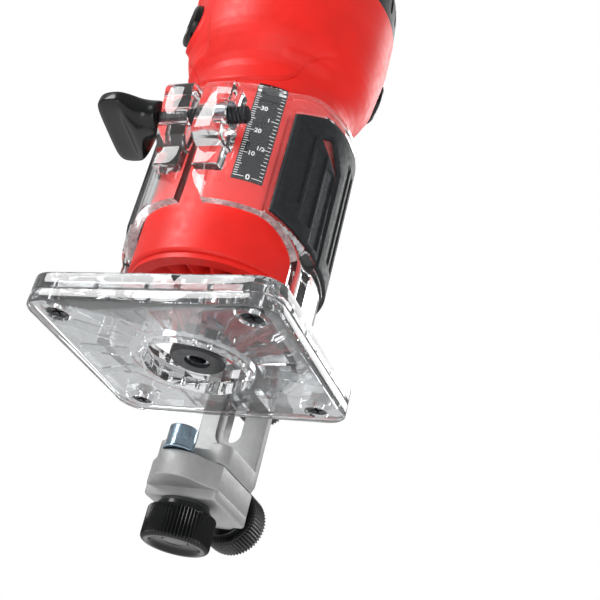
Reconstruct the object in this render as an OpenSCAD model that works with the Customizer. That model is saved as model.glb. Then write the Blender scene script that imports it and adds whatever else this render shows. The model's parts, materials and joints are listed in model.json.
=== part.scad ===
// Trim router (laminate trimmer) with a clear base and a trimmer guide.
// Millimetres. +X right, +Y back, +Z up along the spindle. The origin is on the
// spindle axis, in the plane of the sole that rides on the work.

/* [Base] */
// Width of the sole plate, left to right
plate_w = 92; // [90:1:94]
// Distance from the spindle axis to the front edge of the sole
plate_front = 45; // [44:0.5:46]
// Corner radius of the sole plate
plate_corner = 8.5; // [6:0.5:10]
// Thickness of the screwed-on sub-base
sub_base_t = 5; // [4.5:0.5:5]
// Thickness of the flange of the clear base
flange_t = 6; // [5:0.5:6]
// Radius of the opening for the cutter
opening_r = 19; // [16:0.5:19]
// Height of the collar rim at the front
rim_z = 98.5; // [96:0.5:99]
// Height of the collar rim at the sides
rim_side_z = 102.5; // [100:0.5:103]
// Radial wall of the collar
collar_wall = 3.3; // [3:0.1:3.4]

/* [Motor] */
// Radius of the motor barrel
barrel_r = 32.4; // [32:0.1:32.5]
// Wall of the barrel and the head
shell_wall = 2.4; // [2:0.1:2.6]
// Largest radius of the head
head_r = 41; // [40:0.5:42]
// Height of the brush caps above the sole
brush_z = 139; // [136:1:142]
// Height of the joint between the head and its top cover
cover_z = 160; // [158:1:160]
// Height of the whole tool above the sole
tool_h = 199; // [197:1:203]
// Diameter of the cutter shank that the collet holds
shank_d = 6.35; // [6:0.01:6.35]
// Height of the face of the collet nut above the sole
nut_z = 3; // [2:0.5:4]

/* [Trimmer guide] */
// Width of the slotted plate of the guide holder
holder_w = 27; // [24:1:27]
// Diameter of the guide roller
roller_d = 10; // [10:1:11]
// Distance from the spindle axis back to the roller axis
roller_y = 5; // [4.5:0.5:6]
// Diameter of the knurled knobs
knob_d = 24; // [22:1:24]
// Height of the guide lock screw above the sole
lock_z = 17.7; // [16:0.5:19]

/* [Hidden] */

$fn = 96;
flange_z = sub_base_t + flange_t;
collar_in_r = barrel_r + 0.6;
collar_r = collar_in_r + collar_wall;

// arch that opens the front of the base
arch_z = 47;
arch_half_w = 34.2;
arch_corner = 12.2;
brow_r = 39.3;
rear_wall_half = 26;
leg_half = 19;
grip_z0 = 53;
grip_z1 = 96;
grip_z1_front = 82.5;
grip_front_right = 44;
grip_front_left = 55;
grip_rear = 132;

// collar clamp
clamp_y = -41;
clamp_z = 78;
clamp_bolt_r = 3;
wing_half = 16;
wing_corner = 6.5;
wing_x = -33.6;
wing_skew = 2.2;
wing_back = 1.8;
wing_drop = 1.7;
wing_tilt = 4;

// trimmer guide
holder_y = 38;
holder_t = 4;
plate_back = holder_y - 0.3;
holder_top = 46;
block_top = -20.5;
arm_top = -28.7;
arm_bottom = -41.2;
arm_half_w = 13.7;
arm_front = 1.5;
arm_shoulder = 13.4;
arm_back = 41;
screw_r = 2.5;
adjust_z = -33.3;
adjust_travel = 12;
arm_lock_y = 19.6;
lug_y = 42.3;
lug_t = 4;

// azimuths of the ribs under the flange
rib_az = [-104, -80, -58, -40, -24, 0, 14, 28, 42, 56, 70, 84, 104];

// screws of the sub-base
screw_x = plate_w / 2 - 10.5;
screw_front = plate_front - 9.2;
screw_back = plate_back - 8.7;

// motor parts
nose_z = 22;
bearing_z = 24;
stator_z0 = 54;
stator_z1 = 98;
stator_r = barrel_r - shell_wall - 0.2;
gap_r = 18.2;
commutator_r = 10;
brush_az = [-50, 130];
screw_az = [40, 180, 320];
boss_at = 34.6;

// switch
rocker_y = -34.5;
rocker_z = 172.5;
window_w = 8.4;
window_h = 9.4;

// cord inlet
inlet_y = 15;
gland_z = 189;

// ---- helpers -------------------------------------------------------------

// turns its children from the front (-Y) towards +X by a degrees
module at_az(a) {
    rotate([0, 0, a]) children();
}

// rounded rectangle spanning x0..x1 and y0..y1
module round_rect(x0, x1, y0, y1, r) {
    translate([x0 + r, y0]) square([x1 - x0 - 2 * r, y1 - y0]);
    translate([x0, y0 + r]) square([x1 - x0, y1 - y0 - 2 * r]);
    for (x = [x0 + r, x1 - r], y = [y0 + r, y1 - r])
        translate([x, y]) circle(r);
}

module tube(r_out, r_in, z0, z1) {
    translate([0, 0, z0]) difference() {
        cylinder(r = r_out, h = z1 - z0);
        translate([0, 0, -1]) cylinder(r = r_in, h = z1 - z0 + 2);
    }
}

module disc(r, z0, z1) {
    translate([0, 0, z0]) cylinder(r = r, h = z1 - z0);
}

// ring r_in..r_out, z0..z1, between azimuths a0 and a1 (0 is the front)
module arc_ring(r_out, r_in, z0, z1, a0, a1) {
    rotate([0, 0, a0 - 90]) rotate_extrude(angle = a1 - a0)
        translate([r_in, z0]) square([r_out - r_in, z1 - z0]);
}

// solid between azimuths a0 and a1 turned from an outline of [r, z] points
module arc_solid(points, a0, a1) {
    rotate([0, 0, a0 - 90]) rotate_extrude(angle = a1 - a0) polygon(points);
}

// cylinder along +Y from y0 to y1 at x, z
module rod_y(r, x, z, y0, y1) {
    translate([x, y0, z]) rotate([-90, 0, 0]) cylinder(r = r, h = y1 - y0);
}

// cylinder along +X from x0 to x1 at y, z
module rod_x(r, y, z, x0, x1) {
    translate([x0, y, z]) rotate([0, 90, 0]) cylinder(r = r, h = x1 - x0);
}

module block(x0, x1, y0, y1, z0, z1) {
    translate([x0, y0, z0]) cube([x1 - x0, y1 - y0, z1 - z0]);
}

// knurled knob on +Z: a neck at z = 0, a ribbed rim above it, a dished outer face
module knob(h, neck, bore_r) {
    rib_n = 40;
    rim_r = knob_d / 2;
    difference() {
        union() {
            cylinder(r = rim_r - 2.6, h = neck + 0.6, $fn = 48);
            translate([0, 0, neck]) cylinder(r = rim_r - 0.6, h = h - neck, $fn = 64);
            for (i = [0 : rib_n - 1])
                rotate([0, 0, i * 360 / rib_n])
                    translate([rim_r - 0.9, -0.45, neck + 0.4])
                        cube([0.9, 0.9, h - neck - 1.2]);
        }
        translate([0, 0, h - 1.8]) cylinder(r = rim_r - 3.4, h = 3, $fn = 48);
        translate([0, 0, -1]) cylinder(r = bore_r, h = h - 3, $fn = 48);
    }
}

// ---- base ----------------------------------------------------------------

module plate_outline() {
    round_rect(-plate_w / 2, plate_w / 2, -plate_front, plate_back, plate_corner);
}

module screw_places() {
    for (x = [-screw_x, screw_x], y = [-screw_front, screw_back])
        translate([x, y, 0]) children();
}

// arch outline in X and Z, grown outwards by g
module arch_outline(g) {
    w = arch_half_w + g;
    top = arch_z + g;
    c = arch_corner + g;
    translate([-w, flange_z]) square([2 * w, top - c - flange_z]);
    translate([-w + c, flange_z]) square([2 * (w - c), top - flange_z]);
    for (x = [-w + c, w - c])
        translate([x, top - c]) circle(c);
}

module arch_prism(g, y0, y1) {
    translate([0, y1, 0]) rotate([90, 0, 0])
        linear_extrude(y1 - y0) arch_outline(g);
}

// side view of the grips, with their slanted edges, from x = 0 to w
module grip_side(w) {
    rotate([90, 0, 90]) linear_extrude(w)
        polygon([[-40, grip_z0], [-18, 45], [-4, 39.5], [12, 37],
                 [40, 37], [40, grip_z1], [-16, grip_z1], [-40, grip_z1_front]]);
}

// raised brow that follows the arch on both sides of the split
module arch_brow() {
    difference() {
        intersection() {
            tube(brow_r, collar_r - 1, 26, 56);
            arch_prism(7.5, -60, -4);
        }
        arch_prism(1, -60, 0);
        block(-21, 21, -60, 0, 20, 60);
        translate([-60, 0, 0]) grip_side(120);
    }
}

// two ears that the clamp bolt pulls together
module clamp_lugs() {
    for (side = [[-17.2, -5.6], [-1.6, 10]]) {
        x0 = side[0];
        x1 = side[1];
        translate([x0, 0, 0]) rotate([90, 0, 90]) linear_extrude(x1 - x0)
            round_rect(-46.5, -30, 68, 90, 4);
        block(x0, x1, -40, -31, 58, 70);
    }
}

// hollows under the flange, between its rim, the ring, the ribs and the screw bosses
module flange_pockets() {
    rim = 3.2;
    depth = 3.4;
    translate([0, 0, sub_base_t - 1]) linear_extrude(depth + 1) difference() {
        round_rect(-plate_w / 2 + rim, plate_w / 2 - rim, -plate_front + rim,
                   plate_back - rim, plate_corner - rim);
        circle(opening_r + 5);
        screw_places() circle(6.4);
        for (a = rib_az)
            rotate(a) translate([-0.8, -70]) square([1.6, 70]);
        translate([-15, 0]) square([30, 60]);
    }
}

module base_housing() {
    color([0.86, 0.9, 0.92, 0.45]) difference() {
        union() {
            difference() {
                translate([0, 0, sub_base_t]) linear_extrude(flange_t) plate_outline();
                flange_pockets();
            }
            disc(collar_r, flange_z - 1, rim_side_z);
            // flat pad for the guide holder
            block(-14, 14, 20, holder_y - 0.3, flange_z - 1, 50);
            arch_brow();
            clamp_lugs();
        }
        // cutter opening
        disc(opening_r + 2, -1, flange_z + 1);
        // bore of the collar
        disc(collar_in_r, flange_z, 120);
        // the rim is lower at the front and the back
        for (a = [-50, 130])
            arc_ring(collar_r + 3, collar_in_r - 3, rim_z, 120, a, a + 100);
        // front arch
        arch_prism(0, -60, -10);
        // windows on both sides of the rear wall
        for (a = [90 + leg_half, 180 + rear_wall_half])
            arc_ring(collar_r + 3, collar_in_r - 3, flange_z + 1, 44,
                     a, a + 90 - leg_half - rear_wall_half);
        // split in the collar, wide at the foot
        block(-5.4, -1.8, -60, -25, 40, 120);
        translate([0, -25, 0]) rotate([90, 0, 0]) linear_extrude(35)
            polygon([[-5.4, 40], [-5.4, 58], [-1.8, 58], [4.4, 46], [4.4, 40]]);
        // clamp bolt and its nut
        rod_x(clamp_bolt_r + 0.3, clamp_y, clamp_z, -30, 14);
        rod_x(5.2, clamp_y, clamp_z, 5, 14);
        // guide screw and its nut
        rod_y(screw_r + 0.6, 0, lock_z, 20, 60);
        rod_y(5.2, 0, lock_z, 20, 34.2);
        // pilot holes of the sub-base screws
        screw_places() disc(2.05, sub_base_t - 1, flange_z + 1);
    }
}

module sub_base() {
    color([0.9, 0.94, 0.96, 0.4]) difference() {
        linear_extrude(sub_base_t) plate_outline();
        disc(opening_r, -1, sub_base_t + 1);
        screw_places() {
            disc(2.2, -1, sub_base_t + 1);
            translate([0, 0, 0.8]) cylinder(r1 = 4.3, r2 = 2.2, h = 2.1);
            disc(4.3, -1, 0.8);
        }
    }
}

module sub_base_screws() {
    color([0.1, 0.1, 0.1]) screw_places() {
        difference() {
            union() {
                disc(2, 2.8, flange_z - 0.5);
                translate([0, 0, 0.9]) cylinder(r1 = 4.1, r2 = 2, h = 2);
            }
            block(-2.4, 2.4, -0.5, 0.5, 0, 1.9);
            block(-0.5, 0.5, -2.4, 2.4, 0, 1.9);
        }
    }
}

// rubber grip on the right side of the base, from azimuth a0 to its rear edge
module grip(a0) {
    difference() {
        intersection() {
            arc_ring(collar_r + 1.5, collar_r, 36, grip_z1, a0, grip_rear);
            grip_side(60);
        }
        // upright grooves
        for (a = [a0 + 10 : 7 : grip_rear - 8])
            at_az(a) block(-0.5, 0.5, -60, -collar_r - 0.9, 50, 84);
    }
}

module left_grip() {
    color([0.14, 0.15, 0.16]) mirror([1, 0, 0]) grip(grip_front_left);
}

module right_grip() {
    color([0.14, 0.15, 0.16]) grip(grip_front_right);
}

module clamp_nut() {
    color([0.55, 0.56, 0.58]) difference() {
        rod_x(5, clamp_y, clamp_z, 5.3, 9.8);
        rod_x(clamp_bolt_r + 0.05, clamp_y, clamp_z, 4, 12);
    }
}

module guide_mount_nut() {
    color([0.55, 0.56, 0.58]) difference() {
        rod_y(5, 0, lock_z, 29.5, 34);
        rod_y(screw_r + 0.05, 0, lock_z, 28, 36);
    }
}

// ---- collar clamp ---------------------------------------------------------

module clamp_bolt() {
    color([0.12, 0.12, 0.13]) rod_x(clamp_bolt_r, clamp_y, clamp_z, -19, 16);
}

// flared wing: a round hub that spreads into a flat, slightly skewed paddle
module clamp_wing() {
    hub_r = 6.4;
    paddle_t = 6.4;
    color([0.08, 0.08, 0.09]) translate([0, clamp_y, clamp_z]) difference() {
        union() {
            rod_x(hub_r, 0, 0, -24, -17.6);
            rotate([-wing_tilt, 0, 0]) hull() {
                rod_x(hub_r, 0, 0, -23.5, -22, $fn = 32);
                for (s = [-1, 1])
                    translate([wing_x - s * wing_skew,
                               wing_back + s * (wing_half - wing_corner),
                               -wing_drop - paddle_t / 2])
                        cylinder(r = wing_corner, h = paddle_t, $fn = 32);
            }
        }
        rod_x(clamp_bolt_r, 0, 0, -19.05, -10);
    }
}

// ---- guide lock screw, in the base -----------------------------------------

module guide_lock_screw() {
    color([0.7, 0.71, 0.72]) rod_y(screw_r, 0, lock_z, 29, 56);
}

module guide_lock_washer() {
    color([0.7, 0.71, 0.72]) difference() {
        rod_y(8, 0, lock_z, 46.4, 47.4);
        rod_y(screw_r, 0, lock_z, 40, 50);
    }
}

module guide_lock_knob() {
    color([0.1, 0.1, 0.11]) translate([0, 47.4, lock_z]) rotate([-90, 0, 0])
        knob(13, 1.6, screw_r);
}

// ---- motor housing ---------------------------------------------------------

// outline [r, z] of the head from its neck up, d inside the outer face
function head_outline(d) = [[barrel_r - d, 105], [31.4 - d, 110.5], [33.4 - d, 116],
                            [36.4 - d, 121.5], [38.8 - d, 128], [40.3 - d, 135],
                            [head_r - d, 143], [head_r - d, cover_z]];

// runs children at both brushes, with -Y pointing out along the brush
module brush_places() {
    for (a = brush_az)
        translate([0, 0, brush_z]) at_az(a) children();
}

module motor_housing() {
    room_r = barrel_r - shell_wall;
    color([0.88, 0.16, 0.13]) difference() {
        rotate_extrude() polygon(concat([[0, 28], [barrel_r - 0.8, 28], [barrel_r, 29]],
                                        head_outline(0), [[0, cover_z]]));
        difference() {
            rotate_extrude() polygon(concat([[0, 27], [room_r, 27]],
                                            head_outline(shell_wall), [[0, cover_z + 1]]));
            // bosses that carry the brush holders and the cover screws
            brush_places() rod_y(12, 0, 0, -45, -32);
            for (a = screw_az)
                at_az(a) translate([0, -boss_at, 0]) disc(4.4, 146, cover_z + 2);
        }
        disc(60, cover_z, cover_z + 10);
        brush_places() {
            rod_y(5.7, 0, 0, -60, -20);
            rod_y(9, 0, 0, -60, -35.6);
        }
        for (a = screw_az)
            at_az(a) translate([0, -boss_at, 0]) disc(1.8, 148, cover_z + 1);
        // groove down the front of the barrel
        at_az(4.3) block(-1, 1, -barrel_r - 1, -barrel_r + 0.9, 53.5, 104);
    }
}

// bearing seat, with slanted vanes that let the cooling air out
module vent_ring() {
    color([0.78, 0.13, 0.11]) {
        tube(31.2, 26.5, 26, 28);
        tube(29.9, 26.5, 28, 33);
        tube(17.5, 14.05, nose_z + 2, 33);
        for (i = [0 : 17])
            at_az(i * 20)
                translate([0, -17.2, 26.4]) rotate([0, 32, 0])
                    block(-0.8, 0.8, -9.6, 0, 0.5, 6);
    }
}

module nose_cap() {
    color([0.78, 0.13, 0.11]) tube(17, 6.6, nose_z, nose_z + 2);
}

module depth_scale() {
    color([0.1, 0.1, 0.11])
        arc_ring(barrel_r + 0.25, barrel_r, 58.1, 101.7, 18.4, 38);
}

module stator_core() {
    color([0.45, 0.46, 0.48]) tube(stator_r, gap_r, stator_z0, stator_z1);
}

module field_coils() {
    color([0.72, 0.4, 0.18])
        for (a = [-65, 115], z = [48.4, stator_z1 + 0.1])
            arc_ring(27, 19.5, z, z + 5.4, a, a + 130);
}

module brush_holders() {
    color([0.78, 0.62, 0.3]) brush_places() difference() {
        rod_y(5.6, 0, 0, -35.4, -13);
        block(-3, 3, -36, -12, -4, 4);
    }
}

module carbon_brushes() {
    color([0.2, 0.2, 0.2]) brush_places() block(-2.9, 2.9, -24, -10.4, -3.9, 3.9);
}

module brush_springs() {
    color([0.7, 0.7, 0.7]) brush_places()
        rod_y(2.4, 0, 0, -35.4, -24.1);
}

module brush_caps() {
    color([0.07, 0.07, 0.08]) brush_places() difference() {
        rod_y(8.7, 0, 0, -41.4, -35.6);
        block(-6, 6, -42, -40.2, -0.7, 0.7);
    }
}

module rear_bracket() {
    color([0.16, 0.16, 0.17]) difference() {
        union() {
            tube(14, 11.05, 151, 159);
            for (a = [0, 90, 230])
                at_az(a) block(-4, 4, -38.3, -12.5, 151, 155);
        }
        disc(11.05, 150, 160);
    }
}

module front_bearing() {
    color([0.75, 0.76, 0.78]) tube(14, 6.05, bearing_z, bearing_z + 8);
}

module rear_bearing() {
    color([0.75, 0.76, 0.78]) tube(11, 4.05, 152, 159);
}

// ---- top cover and switch --------------------------------------------------

function cover_outline(d) = [[0, cover_z - d], [head_r - 0.2 - d, cover_z - d],
                             [head_r - 0.6 - d, 170], [38.5 - d, 178],
                             [34.5 - d, 184.5 - d], [28 - d, 188.5 - d],
                             [0, 189.5 - d]];

module switch_window() {
    block(-window_w, window_w, -50, -30, rocker_z - window_h, rocker_z + window_h);
}

module top_cover() {
    color([0.13, 0.13, 0.14]) difference() {
        union() {
            rotate_extrude() polygon(cover_outline(0));
            // pad that frames the switch
            block(-12, 12, -42.5, -30, rocker_z - 11.5, rocker_z + 11.5);
        }
        difference() {
            rotate_extrude() polygon(cover_outline(2.4));
            block(-14, 14, -50, -30.5, cover_z - 5, 195);
            for (a = screw_az)
                at_az(a) translate([0, -boss_at, 0]) disc(4.4, cover_z - 1, 190);
        }
        disc(38, cover_z - 5, cover_z);
        // window for the switch
        switch_window();
        // cooling slots at both sides
        for (s = [-1, 1], i = [0 : 4])
            at_az(s * 90 + (i - 2) * 11) block(-1.1, 1.1, -45, -30, 164, 177);
        // cover screws, sunk into their bosses
        for (a = screw_az)
            at_az(a) translate([0, -boss_at, 0]) {
                disc(2.1, cover_z - 1, 200);
                disc(3.6, 172, 200);
            }
        // cord inlet
        translate([0, inlet_y, 0]) {
            disc(7, 180, 195);
            disc(9.4, gland_z, 195);
        }
    }
}

module cover_screws() {
    color([0.6, 0.61, 0.63])
        for (a = screw_az)
            at_az(a) translate([0, -boss_at, 0]) {
                disc(1.75, 149, 172);
                difference() {
                    disc(3.4, 172, 174.6);
                    block(-2, 2, -0.5, 0.5, 173.4, 175);
                    block(-0.5, 0.5, -2, 2, 173.4, 175);
                }
            }
}

module cord_gland() {
    color([0.08, 0.08, 0.08]) translate([0, inlet_y, 0]) difference() {
        union() {
            disc(6.9, 181, gland_z);
            translate([0, 0, gland_z]) cylinder(r1 = 9.2, r2 = 7.4, h = tool_h - gland_z);
        }
        disc(3.6, 178, tool_h + 1);
    }
}

module capacitor() {
    color([0.75, 0.6, 0.15]) block(-8, 8, 22, 30, 162, 176);
}

module switch_body() {
    color([0.2, 0.2, 0.21]) difference() {
        block(-9.5, 9.5, -30.4, -13, rocker_z - 10, rocker_z + 9.3);
        rod_x(8.6, rocker_y, rocker_z, -window_w, window_w);
    }
}

module switch_bezel() {
    color([0.05, 0.05, 0.06]) difference() {
        block(-10.4, 10.4, -43.7, -42.5, rocker_z - 11, rocker_z + 11);
        switch_window();
    }
}

// rocker with its pivot along X and two slanted faces
module switch_rocker() {
    color([0.05, 0.05, 0.06]) translate([-8, rocker_y, rocker_z]) rotate([90, 0, 90])
        difference() {
            union() {
                linear_extrude(16)
                    polygon([[-9, -7], [-8, 0], [-10.1, 7], [-4, 6.8],
                             [-2, 5], [-2, -5], [-4, -6.8]]);
                cylinder(r = 5.5, h = 16);
            }
            translate([0, 0, -1]) cylinder(r = 1.5, h = 18);
        }
}

// ---- armature and collet ----------------------------------------------------

module armature_shaft() {
    color([0.7, 0.71, 0.72]) difference() {
        union() {
            disc(6, 10, 34);
            disc(5, 34, 48);
            disc(4, 48, 160);
        }
        // flats for the spanner
        for (s = [-1, 1])
            translate([s * 9, 0, 0]) block(-4, 4, -8, 8, 17, 21.6);
        // taper and bore that hold the collet
        translate([0, 0, 9.9]) cylinder(r1 = 5.1, r2 = 3.6, h = 10.1);
        disc(3.4, 15, 36);
    }
}

module armature_core() {
    color([0.4, 0.41, 0.43]) difference() {
        disc(17.4, stator_z0, stator_z1);
        disc(4, stator_z0 - 1, stator_z1 + 1);
        for (i = [0 : 11])
            at_az(i * 30) block(-1.2, 1.2, -18, -11, stator_z0 - 1, stator_z1 + 1);
    }
}

module armature_windings() {
    color([0.75, 0.42, 0.16]) {
        tube(15.5, 5, 48, stator_z0);
        tube(15.5, 5, stator_z1, 106);
        for (i = [0 : 11])
            at_az(i * 30) block(-1.1, 1.1, -16.4, -11.1, stator_z0, stator_z1);
    }
}

module commutator() {
    color([0.78, 0.45, 0.22]) difference() {
        union() {
            tube(commutator_r, 4, brush_z - 9, brush_z + 8);
            tube(commutator_r + 1.4, 4, brush_z - 11, brush_z - 9);
        }
        for (i = [0 : 23])
            at_az(i * 15)
                block(-0.2, 0.2, -12, -commutator_r + 0.8, brush_z - 12, brush_z + 9);
    }
}

module cooling_fan() {
    color([0.2, 0.2, 0.21]) {
        tube(9, 5, 36, 46.5);
        tube(27.5, 8.9, 36, 37.6);
        for (i = [0 : 10])
            at_az(i * 360 / 11)
                translate([0, -9, 0]) rotate([0, 0, 20]) block(-0.8, 0.8, -17, 0.4, 37.5, 46);
    }
}

module collet_cone() {
    color([0.62, 0.63, 0.65]) difference() {
        union() {
            translate([0, 0, 10]) cylinder(r1 = 5.05, r2 = 3.72, h = 9);
            translate([0, 0, nut_z + 1]) cylinder(r1 = 4.3, r2 = 5.05, h = 9 - nut_z);
        }
        disc(shank_d / 2, 0, 30);
    }
}

module collet_nut() {
    color([0.11, 0.11, 0.12]) difference() {
        union() {
            translate([0, 0, nut_z + 2.4]) rotate([0, 0, 30])
                cylinder(r = 9.8, h = 14 - nut_z, $fn = 6);
            translate([0, 0, nut_z]) cylinder(r1 = 9.2, r2 = 10, h = 0.8);
            disc(10, nut_z + 0.8, nut_z + 3);
        }
        disc(4.6, nut_z - 1, nut_z + 1.5);
        translate([0, 0, nut_z + 1.4]) cylinder(r1 = 4.6, r2 = 5.15, h = 8.6 - nut_z);
        disc(6, 9.95, 30);
    }
}

// ---- trimmer guide -----------------------------------------------------------

module holder_slot(half, y0, y1) {
    translate([0, y1, 0]) rotate([90, 0, 0]) linear_extrude(y1 - y0) {
        translate([-half, -6]) square([2 * half, 44]);
        for (z = [-6, 38])
            translate([0, z]) circle(half);
    }
}

module guide_holder() {
    color([0.68, 0.69, 0.68]) difference() {
        union() {
            // slotted plate with a raised rib round the slot
            translate([0, holder_y + holder_t, 0]) rotate([90, 0, 0])
                linear_extrude(holder_t)
                    round_rect(-holder_w / 2, holder_w / 2, arm_top + 0.3, holder_top, 4);
            holder_slot(8, holder_y + 1, holder_y + holder_t + 4);
            // foot that carries the arm
            translate([0, 0, arm_top + 0.3]) linear_extrude(block_top - arm_top - 0.3)
                round_rect(-14, 14, 13.2, holder_y + holder_t, 4);
            // lug for the adjusting screw
            translate([0, lug_y + lug_t, 0]) rotate([90, 0, 0]) linear_extrude(lug_t)
                round_rect(-8, 8, adjust_z - 7, -20, 3);
            block(-8, 8, holder_y + 1, lug_y + lug_t, arm_top + 0.3, block_top);
        }
        holder_slot(3.6, holder_y - 1, 50);
        holder_slot(6.2, holder_y - 1, holder_y + 1.6);
        rod_y(screw_r + 0.05, 0, adjust_z, 30, 60);
        translate([0, arm_lock_y, 0]) disc(screw_r + 0.05, -40, -15);
    }
}

module arm_outline() {
    nose_r = 9;
    difference() {
        union() {
            translate([-arm_half_w, arm_shoulder])
                square([2 * arm_half_w, arm_back - arm_shoulder]);
            hull() {
                translate([0, arm_front + nose_r]) circle(nose_r);
                translate([-arm_half_w, arm_shoulder]) square([2 * arm_half_w, 1]);
            }
        }
        translate([-3.2, arm_lock_y - 3]) square([6.4, adjust_travel + 6]);
    }
}

// the nose under the roller is thinner than the block behind it
module guide_arm() {
    lip = 3.6;
    color([0.7, 0.7, 0.69]) difference() {
        union() {
            translate([0, 0, arm_bottom + lip])
                linear_extrude(arm_top - arm_bottom - lip) arm_outline();
            translate([0, 0, arm_bottom]) linear_extrude(lip)
                intersection() {
                    arm_outline();
                    translate([-20, arm_shoulder]) square([40, 40]);
                }
        }
        rod_y(screw_r + 0.05, 0, adjust_z, 24, 60);
        translate([0, roller_y, 0]) disc(2, -36, -20);
    }
}

module roller_pin() {
    color([0.72, 0.73, 0.74]) translate([0, roller_y, 0]) {
        disc(2, -35.9, -21.5);
        disc(3.3, -21.5, -20.3);
    }
}

module guide_roller() {
    color([0.45, 0.56, 0.62]) translate([0, roller_y, 0]) difference() {
        union() {
            disc(roller_d / 2, -27.6, -20);
            disc(roller_d / 2 + 0.5, -28.4, -27.6);
        }
        disc(2.05, -30, -10);
        disc(3.6, -21.8, -10);
    }
}

module adjust_screw() {
    color([0.7, 0.71, 0.72]) rod_y(screw_r, 0, adjust_z, 25.4, 57);
}

module adjust_knob() {
    color([0.1, 0.1, 0.11]) translate([0, lug_y + lug_t + 0.3, adjust_z])
        rotate([-90, 0, 0]) knob(16, 3.5, screw_r);
}

module arm_lock_screw() {
    color([0.7, 0.71, 0.72]) translate([0, arm_lock_y, 0]) disc(screw_r, -52, -21.5);
}

module arm_lock_washer() {
    color([0.2, 0.2, 0.21]) translate([0, arm_lock_y, 0])
        tube(8.5, screw_r, arm_bottom - 1.5, arm_bottom - 0.3);
}

module arm_lock_knob() {
    color([0.1, 0.1, 0.11]) translate([0, arm_lock_y, arm_bottom - 1.5])
        rotate([180, 0, 0]) knob(13.8, 1.8, screw_r);
}

// ---- nodes -------------------------------------------------------------------

base_housing();
sub_base();
sub_base_screws();
left_grip();
right_grip();
clamp_nut();
guide_mount_nut();
clamp_bolt();
clamp_wing();
guide_lock_screw();
guide_lock_washer();
guide_lock_knob();
motor_housing();
vent_ring();
nose_cap();
depth_scale();
stator_core();
field_coils();
brush_holders();
carbon_brushes();
brush_springs();
brush_caps();
rear_bracket();
front_bearing();
rear_bearing();
top_cover();
cover_screws();
cord_gland();
capacitor();
switch_body();
switch_bezel();
switch_rocker();
armature_shaft();
armature_core();
armature_windings();
commutator();
cooling_fan();
collet_cone();
collet_nut();
guide_holder();
adjust_screw();
adjust_knob();
guide_arm();
roller_pin();
guide_roller();
arm_lock_screw();
arm_lock_washer();
arm_lock_knob();
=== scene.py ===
"""Trim router with a clear base and a trimmer guide: the looks around the CAD frame.

Lengths in this file are millimetres, in the frame of the CAD model: +X right, +Y back,
+Z up the spindle, with the origin in the plane of the sole. An azimuth is counted in
degrees from the front (-Y) towards +X. Meshes are scaled to metres as they are made.
"""

import json
import math

import bmesh
import bpy
from mathutils import Matrix, Vector


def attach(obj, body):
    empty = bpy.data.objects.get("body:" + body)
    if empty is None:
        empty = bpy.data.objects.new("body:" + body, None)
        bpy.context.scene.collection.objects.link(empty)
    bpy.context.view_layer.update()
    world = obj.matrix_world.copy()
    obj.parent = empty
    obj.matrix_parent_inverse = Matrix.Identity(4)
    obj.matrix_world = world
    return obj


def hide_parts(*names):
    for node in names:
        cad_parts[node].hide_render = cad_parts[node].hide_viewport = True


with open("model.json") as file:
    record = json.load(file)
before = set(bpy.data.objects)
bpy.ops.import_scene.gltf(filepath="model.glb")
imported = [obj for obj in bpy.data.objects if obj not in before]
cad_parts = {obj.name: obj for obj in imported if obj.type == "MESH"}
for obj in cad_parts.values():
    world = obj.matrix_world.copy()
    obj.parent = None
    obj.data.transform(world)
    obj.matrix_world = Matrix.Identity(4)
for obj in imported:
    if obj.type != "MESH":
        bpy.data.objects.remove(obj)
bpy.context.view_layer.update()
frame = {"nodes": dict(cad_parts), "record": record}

MM = 0.001
IDENTITY = Matrix.Identity(4)

# places and sizes shared by several pieces
FLANGE_Z = 11.0
SUB_BASE_T = 5.0
SEAM = 0.02  # half the gap between the two layers of the sole
OPENING_R = 19.0
COLLAR_IN = 33.0
COLLAR_R = 36.3
ARCH_Z = 47.0
ARCH_HALF_W = 34.2
ARCH_CORNER = 12.2
ARCH_FLAT = ARCH_HALF_W - ARCH_CORNER
ARCH_SPRING = ARCH_Z - ARCH_CORNER
BARREL_R = 32.4
CLAMP_Y = -41.0
CLAMP_Z = 78.0
WING_TILT = 4.0
WING_DROP = 1.7
WING_BACK = 1.8
WING_SKEW = 0.14
BOLT_END = 16.0
LOCK_Z = 17.7
ADJUST_Z = -33.3
ARM_LOCK_Y = 19.6
ROLLER_Y = 5.0
BRUSH_Z = 139.0
BRUSH_AZ = (-50.0, 130.0)
SCREWS = [(x, y) for x in (-35.5, 35.5) for y in (-35.8, 29.0)]


# ---- materials ----

def srgb(r, g, b):
    """Linear colour from 0..255 display values."""
    def line(c):
        c /= 255
        return c / 12.92 if c <= 0.04045 else ((c + 0.055) / 1.055) ** 2.4
    return (line(r), line(g), line(b), 1.0)


NOISE_LOW = 0.3
NOISE_HIGH = 0.7


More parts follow.
